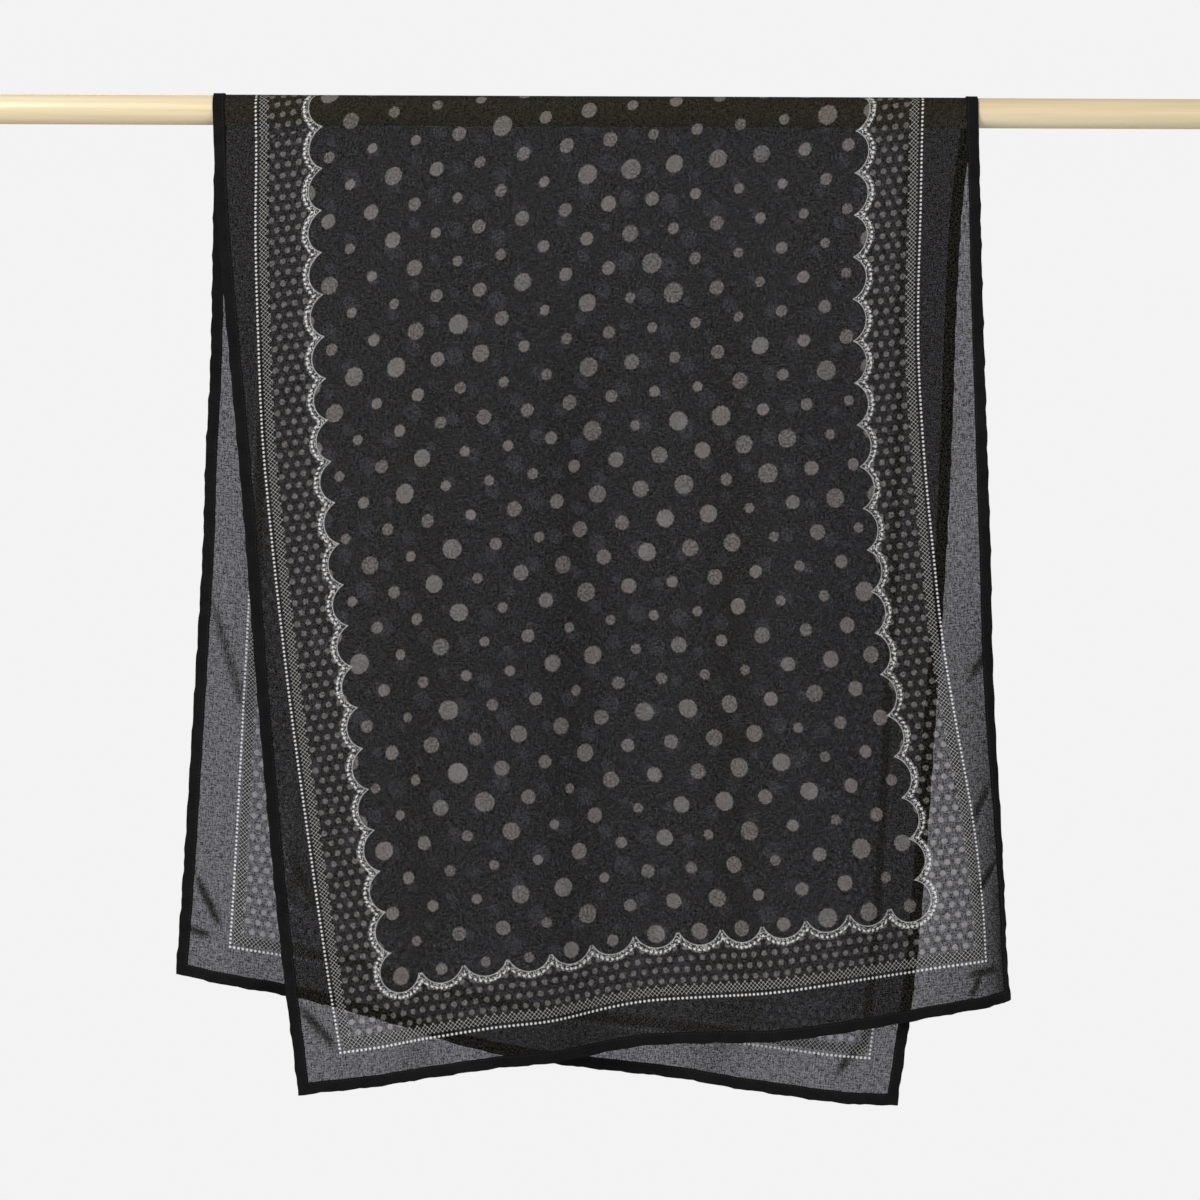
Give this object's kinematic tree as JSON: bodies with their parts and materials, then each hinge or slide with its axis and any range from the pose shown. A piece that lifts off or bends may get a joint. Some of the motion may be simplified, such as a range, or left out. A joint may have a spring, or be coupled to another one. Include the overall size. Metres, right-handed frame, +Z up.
{
  "type": "hijab draped on a rod",
  "caption": "Long sheer printed hijab scarf with narrow turned hems, draped over a round wooden rod with a front and a back fall.",
  "frame": {"origin": "on the rod's axis, half way along it, where the rod holds the scarf", "axes": "+X along the rod to the right as seen from the front, +Y to the back, +Z up"},
  "size_m": [1.2, 0.0748, 0.9505],
  "materials": {
    "voile": "sheer black voile with a pale dotted print",
    "hem_cloth": "turned black voile, opaque in its layers",
    "rod_wood": "turned pale wood, clear satin lacquer"
  },
  "bodies": {
    "root": {"front_fall": "voile", "over_rod": "voile", "back_fall": "voile", "front_hem_left": "hem_cloth", "front_hem_right": "hem_cloth", "front_hem_end": "hem_cloth", "over_rod_hem_left": "hem_cloth", "over_rod_hem_right": "hem_cloth", "back_hem_left": "hem_cloth", "back_hem_right": "hem_cloth", "back_hem_end": "hem_cloth", "rod": "rod_wood"}
  },
  "joints": []
}
